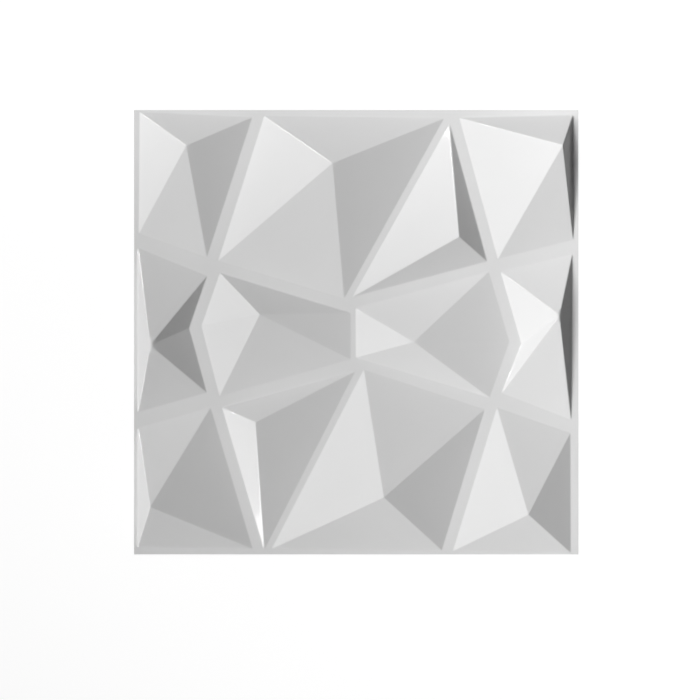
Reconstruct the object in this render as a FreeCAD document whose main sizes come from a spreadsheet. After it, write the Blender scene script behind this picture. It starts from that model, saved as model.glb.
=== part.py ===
import FreeCAD, Part
import os
import Sketcher

# Relief wall panel: one square sheet of white plastic, vacuum formed into
# twelve faceted peaks that stand out of flat grooves and a flat edge flange.
#
# The panel lies on its back. Its origin is in the middle of the back, in the
# plane that is glued to the wall. +X goes to the right of the pattern, +Y to
# its top and +Z away from the wall. Lengths are in millimetres.
#
# The sheet is modelled as it is formed: solid pyramids stand for the mould,
# and the sheet is a flat plate that is raised over them by its own thickness.
# So the back is open under each peak, and steep facets come out thinner than
# the grooves, as they do when a hot sheet is drawn down.

# Driving sizes: name, value and meaning
SIZES = [
    ("panel_width", 500.0, "left edge to right edge"),
    ("panel_length", 500.0, "bottom edge to top edge"),
    ("sheet_thickness", 1.0, "the sheet, measured square to the wall"),
    ("flange_width", 6.0, "flat margin outside the outer peaks"),
    ("upright_groove", 12.5, "grooves that run from top to bottom"),
    ("inner_level_groove", 13.0, "cross grooves near the middle of the panel"),
    ("outer_level_groove", 16.0, "cross grooves that reach the side edges"),
    ("diagonal_groove", 7.5, "grooves between a wedge and a large peak"),
    ("centre_groove", 5.5, "short groove in the middle of the panel"),
    ("top_left_rise", 21.5, "tip of the peak above the grooves"),
    ("top_middle_rise", 28.0, "tip of the peak above the grooves"),
    ("upper_wedge_rise", 21.0, "tip of the peak above the grooves"),
    ("top_right_rise", 30.0, "tip of the peak above the grooves"),
    ("left_rise", 25.5, "tip of the peak above the grooves"),
    ("middle_left_rise", 18.5, "tip of the peak above the grooves"),
    ("middle_right_rise", 19.0, "tip of the peak above the grooves"),
    ("right_rise", 25.0, "tip of the peak above the grooves"),
    ("bottom_left_rise", 25.5, "tip of the peak above the grooves"),
    ("lower_wedge_rise", 19.0, "tip of the peak above the grooves"),
    ("bottom_middle_rise", 28.5, "tip of the peak above the grooves"),
    ("bottom_right_rise", 22.0, "tip of the peak above the grooves"),
]

# The pattern is drawn on a grid with this many squares to a side, counted
# from the middle of the panel, so that it fills a panel of any size.
GRID_SQUARES = 1000

# What lies along a side of a peak
EDGE = "flange_width"
UPRIGHT = "upright_groove"
INNER = "inner_level_groove"
OUTER = "outer_level_groove"
DIAGONAL = "diagonal_groove"
CENTRE = "centre_groove"

# The peaks, with where the tip is and the corners of the peak's place in the
# pattern. Each corner names what runs from there to the next corner. Places
# meet in the middle of the grooves, and the peak's foot stands back from
# them. The pattern isn't quite square to the trimmed edges of the sheet.
PEAKS = {
    "top_left": {
        "tip": (-381, 419),
        "corners": [(-499, 508, EDGE), (-217, 495, UPRIGHT), (-329, 149, OUTER), (-501, 210, EDGE)],
    },
    "top_middle": {
        "tip": (-53, 379),
        "corners": [(-216, 499, EDGE), (213, 493, DIAGONAL), (-26, 62, INNER), (-326, 152, UPRIGHT)],
    },
    "upper_wedge": {
        "tip": (231, 214),
        "corners": [(216, 496, UPRIGHT), (310, 150, INNER), (-27, 61, DIAGONAL)],
    },
    "top_right": {
        "tip": (463, 419),
        "corners": [(216, 494, EDGE), (500, 501, EDGE), (501, 195, OUTER), (311, 146, UPRIGHT)],
    },
    "left": {
        "tip": (-462, -29),
        "corners": [
            (-503, 212, OUTER), (-319, 137, UPRIGHT), (-363, 9, UPRIGHT), (-320, -148, OUTER), (-503, -200, EDGE),
        ],
    },
    "middle_left": {
        "tip": (-216, 40),
        "corners": [
            (-314, 149, INNER), (-7, 55, CENTRE), (-7, -73, INNER), (-316, -160, UPRIGHT), (-361, 15, UPRIGHT),
        ],
    },
    "middle_right": {
        "tip": (129, -22),
        "corners": [
            (-7, 66, INNER), (307, 152, UPRIGHT), (358, -22, UPRIGHT), (308, -163, INNER), (-6, -69, CENTRE),
        ],
    },
    "right": {
        "tip": (456, 37),
        "corners": [
            (309, 148, OUTER), (499, 195, EDGE), (496, -219, OUTER), (310, -147, UPRIGHT), (359, -26, UPRIGHT),
        ],
    },
    "bottom_left": {
        "tip": (-462, -392),
        "corners": [(-503, -202, OUTER), (-320, -151, UPRIGHT), (-216, -500, EDGE), (-504, -495, EDGE)],
    },
    "lower_wedge": {
        "tip": (-226, -202),
        "corners": [(-317, -161, INNER), (16, -69, DIAGONAL), (-212, -517, UPRIGHT)],
    },
    "bottom_middle": {
        "tip": (62, -370),
        "corners": [(16, -70, INNER), (305, -165, UPRIGHT), (202, -503, EDGE), (-204, -499, DIAGONAL)],
    },
    "bottom_right": {
        "tip": (386, -409),
        "corners": [(310, -150, OUTER), (494, -214, EDGE), (495, -509, EDGE), (201, -504, UPRIGHT)],
    },
}

# A foot is first drawn this much smaller than its place, about the tip, and
# the sketch's constraints then put its sides where they belong.
FIRST_GUESS = 0.9

START = 1
ORIGIN = -1


def size_sheet(doc):
    """The spreadsheet with the driving sizes, one alias to a row."""
    sheet = doc.addObject("Spreadsheet::Sheet", "sizes")
    for row, (name, value, meaning) in enumerate(SIZES, start=1):
        sheet.set(f"A{row}", str(value))
        sheet.setAlias(f"A{row}", name)
        sheet.set(f"B{row}", meaning)
    doc.recompute()
    return sheet


def across(squares):
    """Expression for a number of grid squares from left to right."""
    return f"sizes.panel_width * {squares} / {GRID_SQUARES}"


def along(squares):
    """Expression for a number of grid squares from bottom to top."""
    return f"sizes.panel_length * {squares} / {GRID_SQUARES}"


def set_back(side):
    """Expression for how far a foot stands back from a side of its place."""
    if side == EDGE:
        return f"sizes.{side}"
    return f"sizes.{side} / 2"


def on_grid(sheet, x, y):
    """A point of the pattern, in millimetres."""
    return FreeCAD.Vector(sheet.panel_width * x / GRID_SQUARES, sheet.panel_length * y / GRID_SQUARES, 0)


def bind(sketch, constraint, name, expression):
    """Adds a dimension to a sketch and ties it to the driving sizes."""
    index = sketch.addConstraint(constraint)
    sketch.renameConstraint(index, name)
    sketch.setExpression(f"Constraints.{name}", expression)


def pin_corner(sketch, line, x, y, point):
    """Ties the start of a line to its grid position, measured from the origin."""
    for axis, squares, place, distance in (("X", x, across, point.x), ("Y", y, along, point.y)):
        ends = (ORIGIN, 1, line, START) if squares > 0 else (line, START, ORIGIN, 1)
        constraint = Sketcher.Constraint("Distance" + axis, *ends, abs(distance))
        bind(sketch, constraint, f"corner{line}_{axis.lower()}", place(abs(squares)))


def closed_polygon(sketch, points, construction):
    """Draws a closed polygon and returns the number of its first line."""
    count = len(points)
    lines = [Part.LineSegment(points[i], points[(i + 1) % count]) for i in range(count)]
    first = sketch.addGeometry(lines, construction)[0]
    for i in range(count):
        joint = Sketcher.Constraint("Coincident", first + i, 2, first + (i + 1) % count, START)
        sketch.addConstraint(joint)
    return first


def foot_sketch(doc, sheet, name, peak):
    """The outline of a peak's foot, set back from the place drawn for it."""
    sketch = doc.addObject("Sketcher::SketchObject", name + "_foot")
    corners = peak["corners"]
    tip = on_grid(sheet, *peak["tip"])
    place = [on_grid(sheet, x, y) for x, y, side in corners]
    closed_polygon(sketch, place, True)
    for i, (x, y, side) in enumerate(corners):
        pin_corner(sketch, i, x, y, place[i])
    first = closed_polygon(sketch, [tip + (point - tip) * FIRST_GUESS for point in place], False)
    for i, (x, y, side) in enumerate(corners):
        sketch.addConstraint(Sketcher.Constraint("Parallel", i, first + i))
        gap = sheet.get(side) if side == EDGE else sheet.get(side) / 2
        bind(sketch, Sketcher.Constraint("Distance", first + i, START, i, gap), f"set_back{i}", set_back(side))
    return sketch


def tip_point(doc, name, peak):
    """The tip of a peak, over the back plane."""
    x, y = peak["tip"]
    tip = doc.addObject("Part::Vertex", name + "_tip")
    tip.setExpression("X", across(x))
    tip.setExpression("Y", along(y))
    tip.setExpression("Z", f"sizes.{name}_rise")
    return tip


def mould_peak(doc, sheet, name, peak):
    """One peak of the mould: flat facets from the foot's sides to the tip."""
    pyramid = doc.addObject("Part::Loft", name + "_mould")
    pyramid.Sections = [foot_sketch(doc, sheet, name, peak), tip_point(doc, name, peak)]
    pyramid.Solid = True
    pyramid.Ruled = True
    return pyramid


def mould(doc, sheet):
    """All peaks of the mould, standing on the back plane."""
    peaks = doc.addObject("Part::MultiFuse", "mould")
    peaks.Shapes = [mould_peak(doc, sheet, name, peak) for name, peak in PEAKS.items()]
    return peaks


def flat_sheet(doc):
    """The sheet before it is formed, with its back in the back plane."""
    plate = doc.addObject("Part::Box", "flat_sheet")
    plate.setExpression("Length", "sizes.panel_width")
    plate.setExpression("Width", "sizes.panel_length")
    plate.setExpression("Height", "sizes.sheet_thickness")
    plate.setExpression("Placement.Base.x", "-sizes.panel_width / 2")
    plate.setExpression("Placement.Base.y", "-sizes.panel_length / 2")
    return plate


def wall_panel(doc, sheet):
    """The formed sheet: raised over the mould, and open where the mould was."""
    peaks = mould(doc, sheet)
    raised = doc.addObject("Part::Compound", "raised_peaks")
    raised.Links = [peaks]
    raised.setExpression("Placement.Base.z", "sizes.sheet_thickness")
    front = doc.addObject("Part::MultiFuse", "front")
    front.Shapes = [flat_sheet(doc), raised]
    panel = doc.addObject("Part::Cut", "wall_panel")
    panel.Base = front
    panel.Tool = peaks
    panel.Label = "wall_panel"
    return panel


def check_document(doc, panel):
    """Stops if any object failed or the panel isn't one closed solid."""
    for item in doc.Objects:
        if "Invalid" in item.State or "Error" in item.State:
            raise RuntimeError(f"{item.Name} failed: {item.State}")
    shape = panel.Shape
    if shape.isNull() or not shape.isValid() or len(shape.Solids) != 1:
        raise RuntimeError(f"{panel.Label} isn't one valid solid")


def main():
    doc = FreeCAD.newDocument("relief_wall_panel")
    sheet = size_sheet(doc)
    panel = wall_panel(doc, sheet)
    doc.recompute()
    check_document(doc, panel)
    os.makedirs("parts", exist_ok=True)
    panel.Shape.exportStep(f"parts/{panel.Label}.step")
    box = panel.Shape.BoundBox
    print(f"{panel.Label}: {box.XLength:.2f} x {box.YLength:.2f} x {box.ZLength:.2f} mm,"
          f" {panel.Shape.Volume / 1000:.1f} cm3, {len(panel.Shape.Faces)} faces")


main()
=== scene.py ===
import math

import bpy
import numpy as np
from bpy.props import FloatProperty, FloatVectorProperty, IntProperty, PointerProperty
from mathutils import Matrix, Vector
from mathutils.geometry import delaunay_2d_cdt


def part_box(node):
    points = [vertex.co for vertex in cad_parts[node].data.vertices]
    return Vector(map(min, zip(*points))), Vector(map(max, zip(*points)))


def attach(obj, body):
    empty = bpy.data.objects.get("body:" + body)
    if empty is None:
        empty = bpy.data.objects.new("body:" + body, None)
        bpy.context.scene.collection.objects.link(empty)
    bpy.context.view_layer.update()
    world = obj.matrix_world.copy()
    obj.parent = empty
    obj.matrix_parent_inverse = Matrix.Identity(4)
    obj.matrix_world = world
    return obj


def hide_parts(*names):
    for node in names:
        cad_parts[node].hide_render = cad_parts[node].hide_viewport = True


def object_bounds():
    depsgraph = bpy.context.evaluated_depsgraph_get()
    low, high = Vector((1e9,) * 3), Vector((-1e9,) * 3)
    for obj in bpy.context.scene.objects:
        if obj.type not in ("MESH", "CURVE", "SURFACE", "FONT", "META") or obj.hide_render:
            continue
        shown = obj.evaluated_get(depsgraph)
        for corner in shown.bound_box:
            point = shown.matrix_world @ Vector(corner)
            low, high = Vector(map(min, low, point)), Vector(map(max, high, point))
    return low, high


bl_info = {
    "name": "Relief wall panel",
    "version": (1, 0, 0),
    "blender": (4, 5, 0),
    "location": "View3D > Sidebar > Wall panel",
    "description": "Dresses a vacuum-formed relief panel and lights it on a pale floor",
    "category": "Object",
}

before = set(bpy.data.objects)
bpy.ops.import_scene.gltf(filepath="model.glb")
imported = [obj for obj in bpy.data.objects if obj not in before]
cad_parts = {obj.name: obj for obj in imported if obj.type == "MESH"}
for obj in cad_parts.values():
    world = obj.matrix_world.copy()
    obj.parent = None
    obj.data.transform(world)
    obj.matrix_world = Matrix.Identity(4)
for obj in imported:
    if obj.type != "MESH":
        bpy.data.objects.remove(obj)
CAD_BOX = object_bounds()
NODE = "wall_panel"
MM = 0.001

# A face slopes if the upward part of its unit normal lies between these
STEEPEST = 0.01
FLATTEST = 0.9999

# Tips that the real sheet has blunt: place in the pattern and radius, in millimetres
BLUNT_TIPS = (
    (-190.5, 209.5, 2.3),
    (-26.5, 189.5, 2.3),
    (-230.5, -14.5, 3.6),
    (64.5, -11.0, 3.0),
    (228.0, 18.5, 3.0),
)

# A blunt tip is rounded in full within this many of its radii, and not at all beyond twice as many
BLUNT_REACH = 1.6

# Height up a peak, in millimetres, where its ridges have become sharp
SHARP_HEIGHT = 20.0

# Points of the disc over which the sheet's height is averaged, and the turn from one to the next
DISC_POINTS = 48
GOLDEN_ANGLE = math.pi * (3 - math.sqrt(5))

# Points whose heights are worked out at a time
BLOCK = 100000

# Where rows and rings of points lie beside an edge and round a tip, in radii of the rounding there
BENDS = np.array([0.3, 0.6, 0.85, 1.0, 1.5])
TIP_SPOKES = 24
CORNER_SPOKES = 20

# Spaces between the mesh's points, in millimetres: along edges, on flat faces, at the least, and to the rim
EDGE_STEP = 4
FLAT_STEP = 8
LEAST_SPACE = 0.2
RIM_SPACE = 0.7

# Decimals, in metres, to which two corners are the same
DECIMALS = 7

# How far the mesh's points are nudged, in millimetres, so that no rows of them line up
UNALIGNED = 0.004
NUDGE_SEED = 3

# Distance, in millimetres, at which the triangulation takes two points for one
SAME_POINT = 1e-6

# Angle, in degrees, past which the sheet's cut rim stays a sharp edge
RIM_ANGLE = 70

PLASTIC_IOR = 1.5

# Size in metres of the clouds in the plastic's tone and gloss, and how much each changes
CLOUD_SIZE = 0.06
TONE_SWING = 0.015
ROUGHNESS_SWING = 0.06

# Size in metres of the orange peel's lumps
PEEL_SIZE = 0.0022

# Sockets of a Mix node that mixes colours
MIX_FIRST = 6
MIX_SECOND = 7
MIX_RESULT = 2

# Width of the camera's sensor, in millimetres, and how far it sees, in heights over the floor
SENSOR_WIDTH = 36.0
SIGHT = 10

# Softboxes of the studio: azimuth and elevation in degrees of the direction that the light comes from, with
# 0 along +X and 90 along +Y; distance and side of the square lamp in metres; the light it gives, in watts;
# the point of the floor that it is aimed at; and the angle, in degrees, over which its grid spreads the light
LAMPS = {
    "lower_key": (225, 50, 3.0, 1.2, 2.90, (0.6, -0.6), 26),
    "right_fill": (225, 50, 3.0, 1.2, 1.56, (0.9, 0.0), 26),
    "middle_fill": (225, 50, 3.0, 1.2, 1.15, (0.6, 0.3), 26),
    "upper_key": (120, 50, 3.0, 1.2, 6.88, (0.6, 0.6), 32),
    "high_fill": (180, 68, 3.0, 1.2, 0.23, (0.6, 0.3), 30),
    "top_left_spot": (157, 39, 3.0, 0.35, 2.39, (-0.6, 0.6), 26),
    "left_spot": (157.5, 38.5, 3.0, 0.2, 0.18, (-0.45, -0.05), 20),
    "wedge_spot": (157.5, 38.5, 3.0, 0.2, 0.162, (-0.2, -0.2), 16),
    "bottom_left_spot": (157.5, 38.5, 3.0, 0.2, 0.06, (-0.45, -0.35), 20),
    "left_rim": (214, 37, 3.0, 0.18, 0.10, (-0.45, 0.0), 16),
    "bottom_left_rim": (230, 25, 3.0, 0.15, 0.024, (-0.42, -0.3), 12),
    "wedge_tip": (206.8, 27, 3.0, 0.5, 0.20, (-0.11, -0.3), 20),
}


# The panel's shape, read from the solid

def front_facets():
    """The sloping facets of the solid's front, and the height of its flat grooves.

    The result is the feet (facets, 2 corners, x y), the tips (facets, x y z), where z is measured from the
    grooves, and the grooves' own height, all in metres.
    """
    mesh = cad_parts[NODE].data
    points = np.empty(len(mesh.vertices) * 3)
    mesh.vertices.foreach_get("co", points)
    mesh.calc_loop_triangles()
    corners = np.empty(len(mesh.loop_triangles) * 3, dtype=np.int64)
    mesh.loop_triangles.foreach_get("vertices", corners)
    triangles = points.reshape(-1, 3)[corners.reshape(-1, 3)]
    normal = np.cross(triangles[:, 1] - triangles[:, 0], triangles[:, 2] - triangles[:, 0])
    upward = normal[:, 2] / np.linalg.norm(normal, axis=1)
    sloping = triangles[(upward > STEEPEST) & (upward < FLATTEST)]
    order = np.argsort(sloping[:, :, 2], axis=1)
    sloping = np.take_along_axis(sloping, order[:, :, None], axis=1)
    groove_level = sloping[:, 0, 2].min()
    tips = sloping[:, 2] - np.array([0.0, 0.0, groove_level])
    return sloping[:, :2, :2], tips, groove_level


class Relief:
    """The relief before its edges are rounded.

    Within a facet the height is the tip's height times the point's barycentric share of the tip, and outside
    all facets it is zero.
    """

    def __init__(self, feet, tips):
        self.start = feet[:, 0]
        self.to_tip = tips[:, :2] - self.start
        self.to_foot = feet[:, 1] - self.start
        self.area = self.to_tip[:, 0] * self.to_foot[:, 1] - self.to_tip[:, 1] * self.to_foot[:, 0]
        self.rise = tips[:, 2]

    def height(self, xy):
        """Heights at points, worked out a block at a time to save memory."""
        result = np.empty(len(xy))
        for first in range(0, len(xy), BLOCK):
            x, y = (xy[first:first + BLOCK, None] - self.start).transpose(2, 0, 1)
            tip_share = (x * self.to_foot[:, 1] - y * self.to_foot[:, 0]) / self.area
            foot_share = (self.to_tip[:, 0] * y - self.to_tip[:, 1] * x) / self.area
            inside = (tip_share >= 0) & (foot_share >= 0) & (tip_share + foot_share <= 1)
            result[first:first + BLOCK] = np.where(inside, tip_share * self.rise, 0.0).max(axis=1)
        return result


def edge_radius(height, ridge_radius, foot_radius):
    """Half the width of an edge's rounding, which shrinks smoothly as the sheet is drawn thinner.

    With s the share of the sharp height that has been climbed, it is foot + (ridge - foot) s s (3 - 2 s).
    """
    rise = np.clip(height / (SHARP_HEIGHT * MM), 0, 1)
    return foot_radius + (ridge_radius - foot_radius) * rise * rise * (3 - 2 * rise)


def rounding(xy, relief, ridge_radius, foot_radius):
    """How far the hot sheet rounds the relief at each point.

    It is the radius of an edge at the point's height, and close to a blunt tip it grows to that tip's own
    radius times n n (3 - 2 n), where n falls from 1 to 0 across the tip's reach.
    """
    radius = edge_radius(relief.height(xy), ridge_radius, foot_radius)
    for x, y, blunt in BLUNT_TIPS:
        away = np.hypot(xy[:, 0] - x * MM, xy[:, 1] - y * MM)
        near = np.clip(2.0 - away / (BLUNT_REACH * blunt * MM), 0, 1)
        radius = np.maximum(radius, blunt * MM * near * near * (3 - 2 * near))
    return radius


def formed_height(xy, relief, ridge_radius, foot_radius):
    """Height of the relief as the hot sheet takes it: the sharp relief, averaged over a small disc.

    The disc's points lie on a sunflower spiral, and its radius is the rounding at its middle.
    """
    number = np.arange(DISC_POINTS)
    reach = np.sqrt((number + 0.5) / DISC_POINTS)
    turn = number * GOLDEN_ANGLE
    disc = np.stack([reach * np.cos(turn), reach * np.sin(turn)], axis=1)
    radius = rounding(xy, relief, ridge_radius, foot_radius)
    spread = xy[:, None] + disc * radius[:, None, None]
    return relief.height(spread.reshape(-1, 2)).reshape(-1, DISC_POINTS).mean(axis=1)


# Points of the sheet's mesh

def rows_beside(start, end, offsets, step, radius):
    """Points in rows beside a straight edge, evenly spaced, with every other row half a space further on.

    Each row lies as far aside as one of the offsets times the radius, which is a function of how far along
    the edge a point is, from 0 to 1.
    """
    along = end - start
    length = np.hypot(*along)
    count = max(2, int(length / step) + 1)
    late = 0.5 * (np.arange(len(offsets)) % 2)
    stations = np.clip((np.arange(count) + late[:, None]) / (count - 1), 0, 1)
    side = np.array([-along[1], along[0]]) / length
    aside = (radius(stations) * offsets[:, None])[..., None] * side
    return (start + stations[..., None] * along + aside).reshape(-1, 2)


def rings_round(centre, radii, spokes):
    """Points in rings round a corner or a tip, and the centre itself."""
    turn = np.arange(spokes) * 2 * math.pi / spokes
    ring = np.stack([np.cos(turn), np.sin(turn)], axis=1)
    return np.vstack([centre[None], (radii[:, None, None] * ring).reshape(-1, 2) + centre])


def far_from_edges(xy, starts, ends, gap):
    """Which points lie further than the gap from every edge, by their distance to each segment."""
    along = ends - starts
    away = xy[:, None] - starts
    share = np.clip((away * along).sum(-1) / (along * along).sum(-1), 0, 1)
    nearest = away - share[..., None] * along
    return np.hypot(nearest[..., 0], nearest[..., 1]).min(axis=1) > gap


def thinned(xy, spacing):
    """One point for each small square of the plane that holds any, the first of them."""
    square = np.round(xy / spacing).astype(np.int64)
    first = np.unique(square, axis=0, return_index=True)[1]
    return xy[np.sort(first)]


def outline_points(half_width, half_length, step):
    """Points along the trimmed outline, in order, without a repeated corner."""
    corners = np.array([(-1, -1), (1, -1), (1, 1), (-1, 1)]) * (half_width, half_length)
    sides = []
    for start, end in zip(corners, np.roll(corners, -1, axis=0)):
        stations = np.arange(0, 1, step / np.hypot(*(end - start)))
        sides.append(start + stations[:, None] * (end - start))
    return np.vstack(sides)


def flat_lattice(half_width, half_length, step):
    """Points of a square lattice over the sheet."""
    across = np.arange(-half_width + step / 2, half_width, step)
    along = np.arange(-half_length + step / 2, half_length, step)
    return np.stack(np.meshgrid(across, along), axis=-1).reshape(-1, 2)


def sheet_points(feet, tips, half_width, half_length, ridge_radius, foot_radius):
    """All points of the front, close together where it bends and wide apart where it is flat.

    The result is the points, those of the outline first, and how many the outline has.
    """
    corners = feet.reshape(-1, 2)
    ridges = np.hstack([corners, np.repeat(tips, 2, axis=0)])
    ridges = np.unique(np.round(ridges, DECIMALS), axis=0)
    rows = np.concatenate([-BENDS[::-1], [0.0], BENDS])
    step = EDGE_STEP * MM
    outline = outline_points(half_width, half_length, step)
    parts = []
    for tip in np.unique(np.round(tips[:, :2], DECIMALS), axis=0):
        parts.append(rings_round(tip, ridge_radius * BENDS, TIP_SPOKES))
    for corner in np.unique(np.round(corners, DECIMALS), axis=0):
        parts.append(rings_round(corner, foot_radius * BENDS, CORNER_SPOKES))
    for x0, y0, x1, y1, rise in ridges:
        def radius(share):
            return edge_radius(share * rise, ridge_radius, foot_radius)
        parts.append(rows_beside(np.array([x0, y0]), np.array([x1, y1]), rows, step, radius))
    for start, end in feet:
        parts.append(rows_beside(start, end, rows, step, lambda share: np.full_like(share, foot_radius)))
    lattice = flat_lattice(half_width, half_length, FLAT_STEP * MM)
    starts = np.vstack([ridges[:, :2], feet[:, 0]])
    ends = np.vstack([ridges[:, 2:4], feet[:, 1]])
    parts.append(lattice[far_from_edges(lattice, starts, ends, 2 * foot_radius)])
    inner = thinned(np.vstack(parts), LEAST_SPACE * MM)
    room = np.abs(inner) < np.array([half_width, half_length]) - RIM_SPACE * MM
    inner = inner[room.all(axis=1)]
    nudge = np.random.default_rng(NUDGE_SEED).uniform(-UNALIGNED * MM, UNALIGNED * MM, inner.shape)
    return np.vstack([outline, inner + nudge]), len(outline)


def sheet_mesh(name, xy, height, thickness, rim_count):
    """A closed sheet over a height map: the front, the same surface one thickness lower, and the cut rim.

    The first rim_count points run round the outline in order. The triangles are Delaunay's.
    """
    flat = [Vector(point) for point in (xy / MM).tolist()]
    triangles = np.array(delaunay_2d_cdt(flat, [], [], 0, SAME_POINT)[2], dtype=np.int64)
    one, two, three = xy[triangles].transpose(1, 0, 2)
    doubled = np.abs(np.cross(two - one, three - one)).sum()
    if abs(doubled / 2 - np.prod(np.ptp(xy, axis=0))) > MM * MM:
        raise RuntimeError("the sheet's triangles don't cover it once")
    count = len(xy)
    front = np.column_stack([xy, height + thickness])
    back = np.column_stack([xy, height])
    rim = np.arange(rim_count)
    after = np.roll(rim, -1)
    walls = np.column_stack([rim + count, after + count, after, rim])
    faces = triangles.tolist() + (triangles[:, ::-1] + count).tolist() + walls.tolist()
    mesh = bpy.data.meshes.new(name)
    mesh.from_pydata(np.vstack([front, back]).tolist(), [], faces)
    mesh.validate()
    mesh.shade_smooth()
    mesh.set_sharp_from_angle(angle=math.radians(RIM_ANGLE))
    return mesh


# Shader maths

class Value:
    """A number on a node's output, with which Python's operators build Math nodes."""

    def __init__(self, tree, socket):
        self.tree = tree
        self.socket = socket

    def combined(self, operation, other):
        node = self.tree.nodes.new("ShaderNodeMath")
        node.operation = operation
        self.tree.links.new(self.socket, node.inputs[0])
        if isinstance(other, Value):
            self.tree.links.new(other.socket, node.inputs[1])
        else:
            node.inputs[1].default_value = other
        return Value(self.tree, node.outputs[0])

    def __add__(self, other):
        return self.combined("ADD", other)

    def __mul__(self, other):
        return self.combined("MULTIPLY", other)

    __radd__ = __add__
    __rmul__ = __mul__


class Finish:
    """A material whose nodes are added by one method."""

    def __init__(self, name):
        self.material = bpy.data.materials.new(name)
        self.material.use_nodes = True
        self.tree = self.material.node_tree
        self.tree.nodes.clear()
        self.output = self.tree.nodes.new("ShaderNodeOutputMaterial")

    def node(self, kind, settings=None, **sockets):
        """Adds a node: its settings first, then values or links by socket name, with _ for a space."""
        node = self.tree.nodes.new(kind)
        for setting, value in (settings or {}).items():
            setattr(node, setting, value)
        for label, value in sockets.items():
            self.feed(node.inputs[label.replace("_", " ")], value)
        return node

    def feed(self, socket, value):
        """Sets a socket to a constant, or links it to a Value or to another node's socket."""
        if isinstance(value, Value):
            value = value.socket
        if isinstance(value, bpy.types.NodeSocket):
            self.tree.links.new(value, socket)
        else:
            socket.default_value = value

    def noise(self, place, size, detail):
        """Smooth noise from 0 to 1 with lumps of about the given size in metres."""
        node = self.node("ShaderNodeTexNoise", Vector=place, Scale=1 / size, Detail=detail)
        return Value(self.tree, node.outputs["Fac"])

    def finished(self, surface):
        self.tree.links.new(surface, self.output.inputs["Surface"])
        return self.material


def satin_plastic(panel):
    """White vinyl with a satin skin: a fine orange peel, and tone and gloss that vary a little over it."""
    finish = Finish("satin_white_vinyl")
    place = finish.node("ShaderNodeTexCoord").outputs["Object"]
    cloud = finish.noise(place, CLOUD_SIZE, detail=3.0)
    peel = finish.noise(place, PEEL_SIZE, detail=2.0)
    tone = finish.node("ShaderNodeMix", {"data_type": "RGBA"}, Factor=cloud)
    for socket, share in ((MIX_FIRST, 1 - TONE_SWING), (MIX_SECOND, 1 + TONE_SWING)):
        finish.feed(tone.inputs[socket], (*[min(1.0, share * c) for c in panel.sheet_colour], 1))
    bump = finish.node("ShaderNodeBump", Strength=1.0, Distance=panel.peel_depth, Height=peel)
    shader = finish.node(
        "ShaderNodeBsdfPrincipled",
        Base_Color=tone.outputs[MIX_RESULT],
        Roughness=cloud * ROUGHNESS_SWING + (panel.sheet_roughness - ROUGHNESS_SWING / 2),
        Normal=bump.outputs["Normal"],
        IOR=PLASTIC_IOR,
        Specular_IOR_Level=panel.sheet_gloss,
        Coat_Weight=panel.coat_weight,
        Coat_Roughness=panel.coat_roughness,
        Coat_IOR=PLASTIC_IOR,
    )
    return finish.finished(shader.outputs["BSDF"])


def backdrop_rays(tree):
    """1 for rays that show a surface to the camera, straight or by reflection, and 0 for the others."""
    rays = tree.nodes.new("ShaderNodeLightPath").outputs
    camera_ray, glossy_ray, through_ray = (
        Value(tree, rays[name]) for name in ("Is Camera Ray", "Is Glossy Ray", "Is Transmission Ray")
    )
    return camera_ray + glossy_ray + through_ray


def studio_floor(stage):
    """A matt pale floor that the camera sees as white, and that keeps the panel's shadow."""
    finish = Finish("pale_floor")
    finish.material.cycles.emission_sampling = "NONE"
    matt = finish.node("ShaderNodeBsdfDiffuse", Color=(*stage.floor_colour, 1))
    seen = backdrop_rays(finish.tree)
    glow = finish.node("ShaderNodeEmission", Color=(1, 1, 1, 1), Strength=seen * stage.floor_lift)
    both = finish.node("ShaderNodeAddShader")
    for surface, slot in zip((matt, glow), both.inputs):
        finish.feed(slot, surface.outputs[0])
    return finish.finished(both.outputs[0])


# Settings

class PanelSettings(bpy.types.PropertyGroup):
    ridge_radius: FloatProperty(
        name="Ridge radius", description="Half the width of the rounding along a ridge and at a tip",
        default=0.9 * MM, min=0.2 * MM, max=5 * MM, unit="LENGTH", precision=4,
    )
    foot_radius: FloatProperty(
        name="Foot radius", description="Half the width of the rounding where a facet meets a groove",
        default=1.1 * MM, min=0.2 * MM, max=5 * MM, unit="LENGTH", precision=4,
    )
    sheet_colour: FloatVectorProperty(
        name="Sheet colour", description="Colour of the plastic", default=(0.70, 0.70, 0.70),
        min=0, max=1, subtype="COLOR",
    )
    sheet_roughness: FloatProperty(
        name="Roughness", description="Roughness of the satin under the skin",
        default=0.4, min=0, max=1,
    )
    sheet_gloss: FloatProperty(
        name="Gloss", description="Gloss of the satin under the skin",
        default=0.2, min=0, max=1,
    )
    coat_weight: FloatProperty(
        name="Skin", description="How much of the surface has the glossy skin",
        default=0.4, min=0, max=1,
    )
    coat_roughness: FloatProperty(
        name="Skin roughness", description="Roughness of the glossy skin over the satin",
        default=0.03, min=0, max=1,
    )
    peel_depth: FloatProperty(
        name="Orange peel", description="Depth of the fine unevenness of the skin",
        default=0.02 * MM, min=0, max=MM, unit="LENGTH", precision=5,
    )


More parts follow.
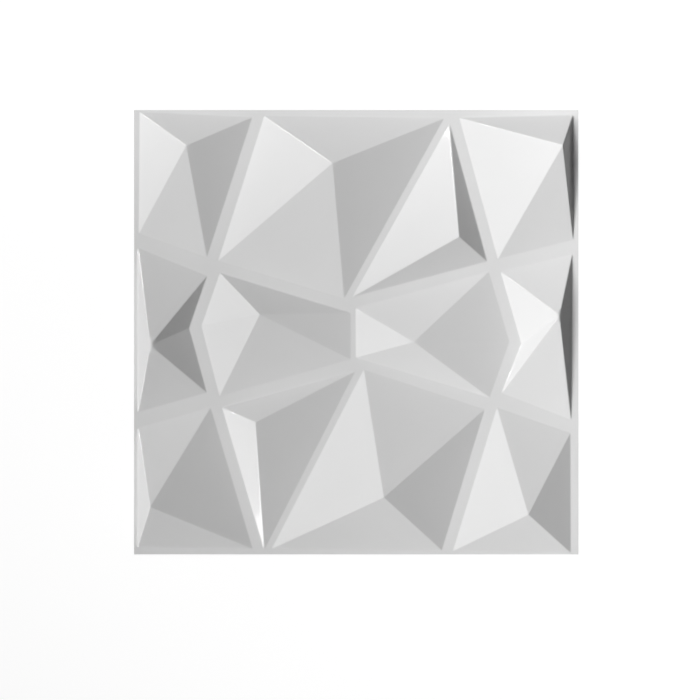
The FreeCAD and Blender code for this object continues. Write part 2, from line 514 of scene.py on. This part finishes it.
class StageSettings(bpy.types.PropertyGroup):
    floor_colour: FloatVectorProperty(
        name="Floor colour", description="Colour of the floor", default=(0.16, 0.16, 0.16),
        min=0, max=1, subtype="COLOR",
    )
    floor_lift: FloatProperty(
        name="Floor lift", description="Added to the floor where the camera sees it",
        default=0.88, min=0, max=1,
    )
    floor_size: FloatProperty(
        name="Floor size", description="Side of the square floor", default=60.0, min=2, unit="LENGTH",
    )
    camera_height: FloatProperty(
        name="Camera height", description="Height of the camera over the floor",
        default=6.0, min=1, unit="LENGTH",
    )
    picture_pixels: IntProperty(
        name="Picture", description="Width and height of the picture in pixels", default=700, min=16,
    )
    panel_pixels: FloatProperty(
        name="Panel in picture", description="Width of the panel in the picture, in pixels",
        default=444.3, min=1,
    )
    panel_place: FloatVectorProperty(
        name="Panel's place",
        description="Where the panel's middle is in the picture, in pixels from the top left",
        default=(356.15, 332.25), size=2,
    )


# The studio

def lamp(name, azimuth, elevation, distance, side, power, aim, spread):
    """A square softbox about the panel's middle, turned towards the point that it is aimed at."""
    data = bpy.data.lights.new(name, "AREA")
    data.shape = "SQUARE"
    data.size = side
    data.energy = power
    data.spread = math.radians(spread)
    turn = math.radians(azimuth)
    rise = math.radians(elevation)
    towards = Vector((math.cos(turn) * math.cos(rise), math.sin(turn) * math.cos(rise), math.sin(rise)))
    item = bpy.data.objects.new(name, data)
    item.location = towards * distance
    item.rotation_euler = (towards * distance - Vector((*aim, 0))).to_track_quat("Z", "Y").to_euler()
    bpy.context.collection.objects.link(item)


def surround():
    """A white surround for the camera and for reflections, which gives no light of its own."""
    world = bpy.data.worlds.new("studio_surround")
    world.use_nodes = True
    background = world.node_tree.nodes["Background"]
    background.inputs["Color"].default_value = (1, 1, 1, 1)
    world.node_tree.links.new(backdrop_rays(world.node_tree).socket, background.inputs["Strength"])
    bpy.context.scene.world = world


def camera(stage):
    """The camera looks straight down, as far aside as puts the panel at its place in the picture."""
    width = CAD_BOX[1][0] - CAD_BOX[0][0]
    pixel = width / stage.panel_pixels
    data = bpy.data.cameras.new("camera")
    data.sensor_width = SENSOR_WIDTH
    data.lens = SENSOR_WIDTH * stage.camera_height / (pixel * stage.picture_pixels)
    data.clip_end = SIGHT * stage.camera_height
    item = bpy.data.objects.new("camera", data)
    middle = stage.picture_pixels / 2
    item.location = (
        (middle - stage.panel_place[0]) * pixel,
        (stage.panel_place[1] - middle) * pixel,
        stage.camera_height,
    )
    bpy.context.collection.objects.link(item)
    bpy.context.scene.camera = item


# Operators

class PANEL_OT_formed_sheet(bpy.types.Operator):
    """Makes the formed sheet over the solid's facets, with rounded ridges, tips and groove edges"""
    bl_idname = "wall_panel.formed_sheet"
    bl_label = "Formed sheet"

    def execute(self, context):
        panel = context.scene.wall_panel
        low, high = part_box(NODE)
        half_width, half_length = (high[0] - low[0]) / 2, (high[1] - low[1]) / 2
        radii = (panel.ridge_radius, panel.foot_radius)
        feet, tips, thickness = front_facets()
        xy, rim_count = sheet_points(feet, tips, half_width, half_length, *radii)
        height = formed_height(xy, Relief(feet, tips), *radii)
        mesh = sheet_mesh("formed_sheet", xy, height, thickness, rim_count)
        mesh.materials.append(satin_plastic(panel))
        piece = bpy.data.objects.new("formed_sheet", mesh)
        context.collection.objects.link(piece)
        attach(piece, "root")
        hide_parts(NODE)
        return {"FINISHED"}


class PANEL_OT_stage(bpy.types.Operator):
    """Makes the floor, the lamps and the camera"""
    bl_idname = "wall_panel.stage"
    bl_label = "Studio"

    def execute(self, context):
        stage = context.scene.wall_panel_stage
        half = stage.floor_size / 2
        corners = [(-half, -half, 0), (half, -half, 0), (half, half, 0), (-half, half, 0)]
        mesh = bpy.data.meshes.new("floor")
        mesh.from_pydata(corners, [], [(0, 1, 2, 3)])
        mesh.materials.append(studio_floor(stage))
        floor = bpy.data.objects.new("floor", mesh)
        context.collection.objects.link(floor)
        for name, settings in LAMPS.items():
            lamp(name, *settings)
        surround()
        camera(stage)
        context.scene.view_settings.view_transform = "Standard"
        return {"FINISHED"}


class VIEW3D_PT_wall_panel(bpy.types.Panel):
    """Settings of the panel and its stage"""
    bl_label = "Wall panel"
    bl_space_type = "VIEW_3D"
    bl_region_type = "UI"
    bl_category = "Wall panel"

    def draw(self, context):
        for settings, operator in (
            (context.scene.wall_panel, PANEL_OT_formed_sheet),
            (context.scene.wall_panel_stage, PANEL_OT_stage),
        ):
            column = self.layout.column()
            for name in settings.__annotations__:
                column.prop(settings, name)
            column.operator(operator.bl_idname)


CLASSES = (PanelSettings, StageSettings, PANEL_OT_formed_sheet, PANEL_OT_stage, VIEW3D_PT_wall_panel)


def register():
    for item in CLASSES:
        bpy.utils.register_class(item)
    bpy.types.Scene.wall_panel = PointerProperty(type=PanelSettings)
    bpy.types.Scene.wall_panel_stage = PointerProperty(type=StageSettings)


def unregister():
    del bpy.types.Scene.wall_panel_stage
    del bpy.types.Scene.wall_panel
    for item in reversed(CLASSES):
        bpy.utils.unregister_class(item)


def main():
    register()
    bpy.ops.wall_panel.formed_sheet()
    bpy.ops.wall_panel.stage()


if __name__ == "__main__":
    main()
